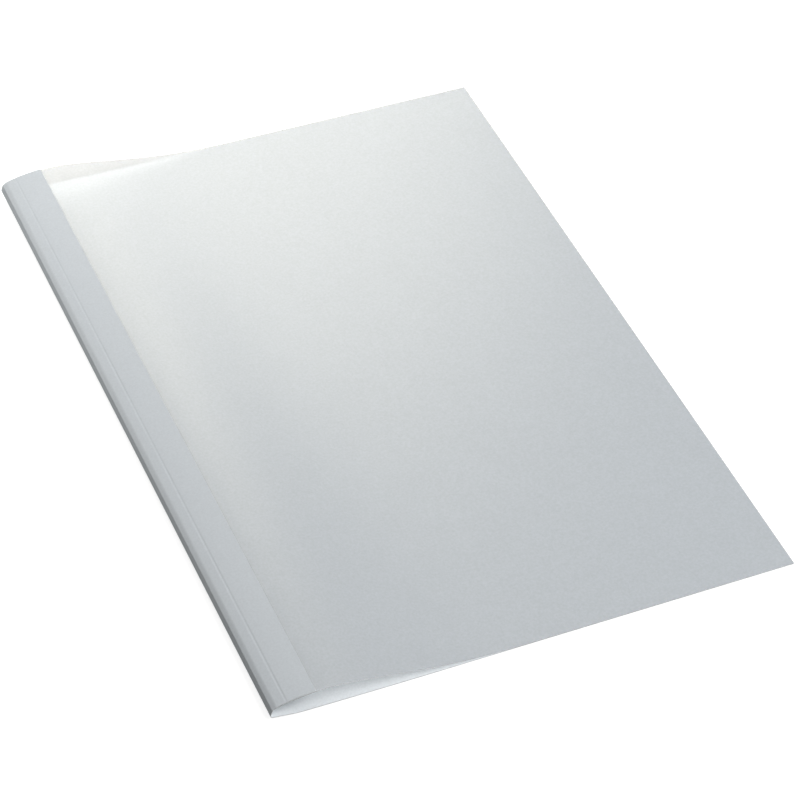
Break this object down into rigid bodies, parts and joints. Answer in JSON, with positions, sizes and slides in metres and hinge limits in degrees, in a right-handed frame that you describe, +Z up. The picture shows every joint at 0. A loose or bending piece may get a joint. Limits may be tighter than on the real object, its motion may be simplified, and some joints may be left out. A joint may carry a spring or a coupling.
{
  "type": "thermal binding cover",
  "caption": "A4 thermal binding cover lying closed: card back, spine and front flap, a matt see-through front sheet that bows up at the spine, and a hot-melt glue strip.",
  "frame": {"origin": "on the table, under the middle of the cover's outline seen from above", "axes": "+X from the spine to the fore edge, +Y along the spine towards the end that is further away in the picture, +Z up from the table"},
  "size_m": [0.21, 0.297, 0.0101],
  "materials": {
    "card": "smooth light grey card, matt",
    "matt_sheet": "frosted see-through film, fine grain, soft sheen",
    "hot_melt": "waxy white hot-melt glue",
    "seam_glue": "thin set glue film"
  },
  "bodies": {
    "back": {"card_wrap": "card", "spine_glue": "hot_melt"},
    "front": {"front_flap": "card", "seam_glue": "seam_glue", "front_sheet": "matt_sheet"}
  },
  "joints": [
    {"name": "front_cover_open", "type": "hinge", "parent": "back", "child": "front", "pos_m": [-0.099, 0, 0.00847], "axis": [0, -1, 0], "range_deg": [0, 180]}
  ]
}
